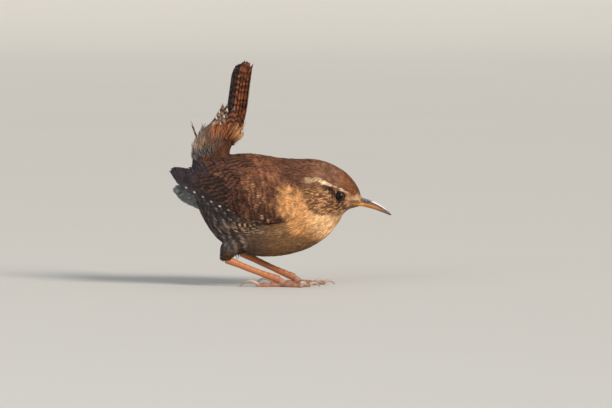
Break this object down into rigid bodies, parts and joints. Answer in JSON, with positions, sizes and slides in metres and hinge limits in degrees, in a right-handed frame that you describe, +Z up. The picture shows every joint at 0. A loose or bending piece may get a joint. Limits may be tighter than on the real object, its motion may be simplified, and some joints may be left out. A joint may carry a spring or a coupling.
{
  "type": "wren",
  "caption": "Life-size still model of a wren, standing on level feet with its short tail cocked upright and its wings folded.",
  "frame": {"origin": "on the floor, under the middle of the bounding box", "axes": "+X forward, the way the bill points; +Y to the bird's left; +Z up"},
  "size_m": [0.0711, 0.0316, 0.0724],
  "materials": {
    "plumage": "soft feathers, warm brown above and buff below, finely barred",
    "flight_feathers": "satin vanes, rufous brown with dark bars",
    "eye": "wet gloss",
    "upper_bill": "satin horn, dark brown",
    "lower_bill": "satin horn, amber to brown",
    "leg_skin": "scaled skin, pinkish brown"
  },
  "bodies": {
    "root": {"head": "plumage", "neck": "plumage", "torso": "plumage", "rump": "plumage", "thigh_right": "plumage", "thigh_left": "plumage", "tail": "flight_feathers", "wing_right": "flight_feathers", "wing_left": "flight_feathers", "eye_right": "eye", "eye_left": "eye", "bill_upper": "upper_bill", "bill_lower": "lower_bill", "shank_right": "leg_skin", "shank_left": "leg_skin", "foot_right": "leg_skin", "foot_left": "leg_skin"}
  },
  "joints": []
}
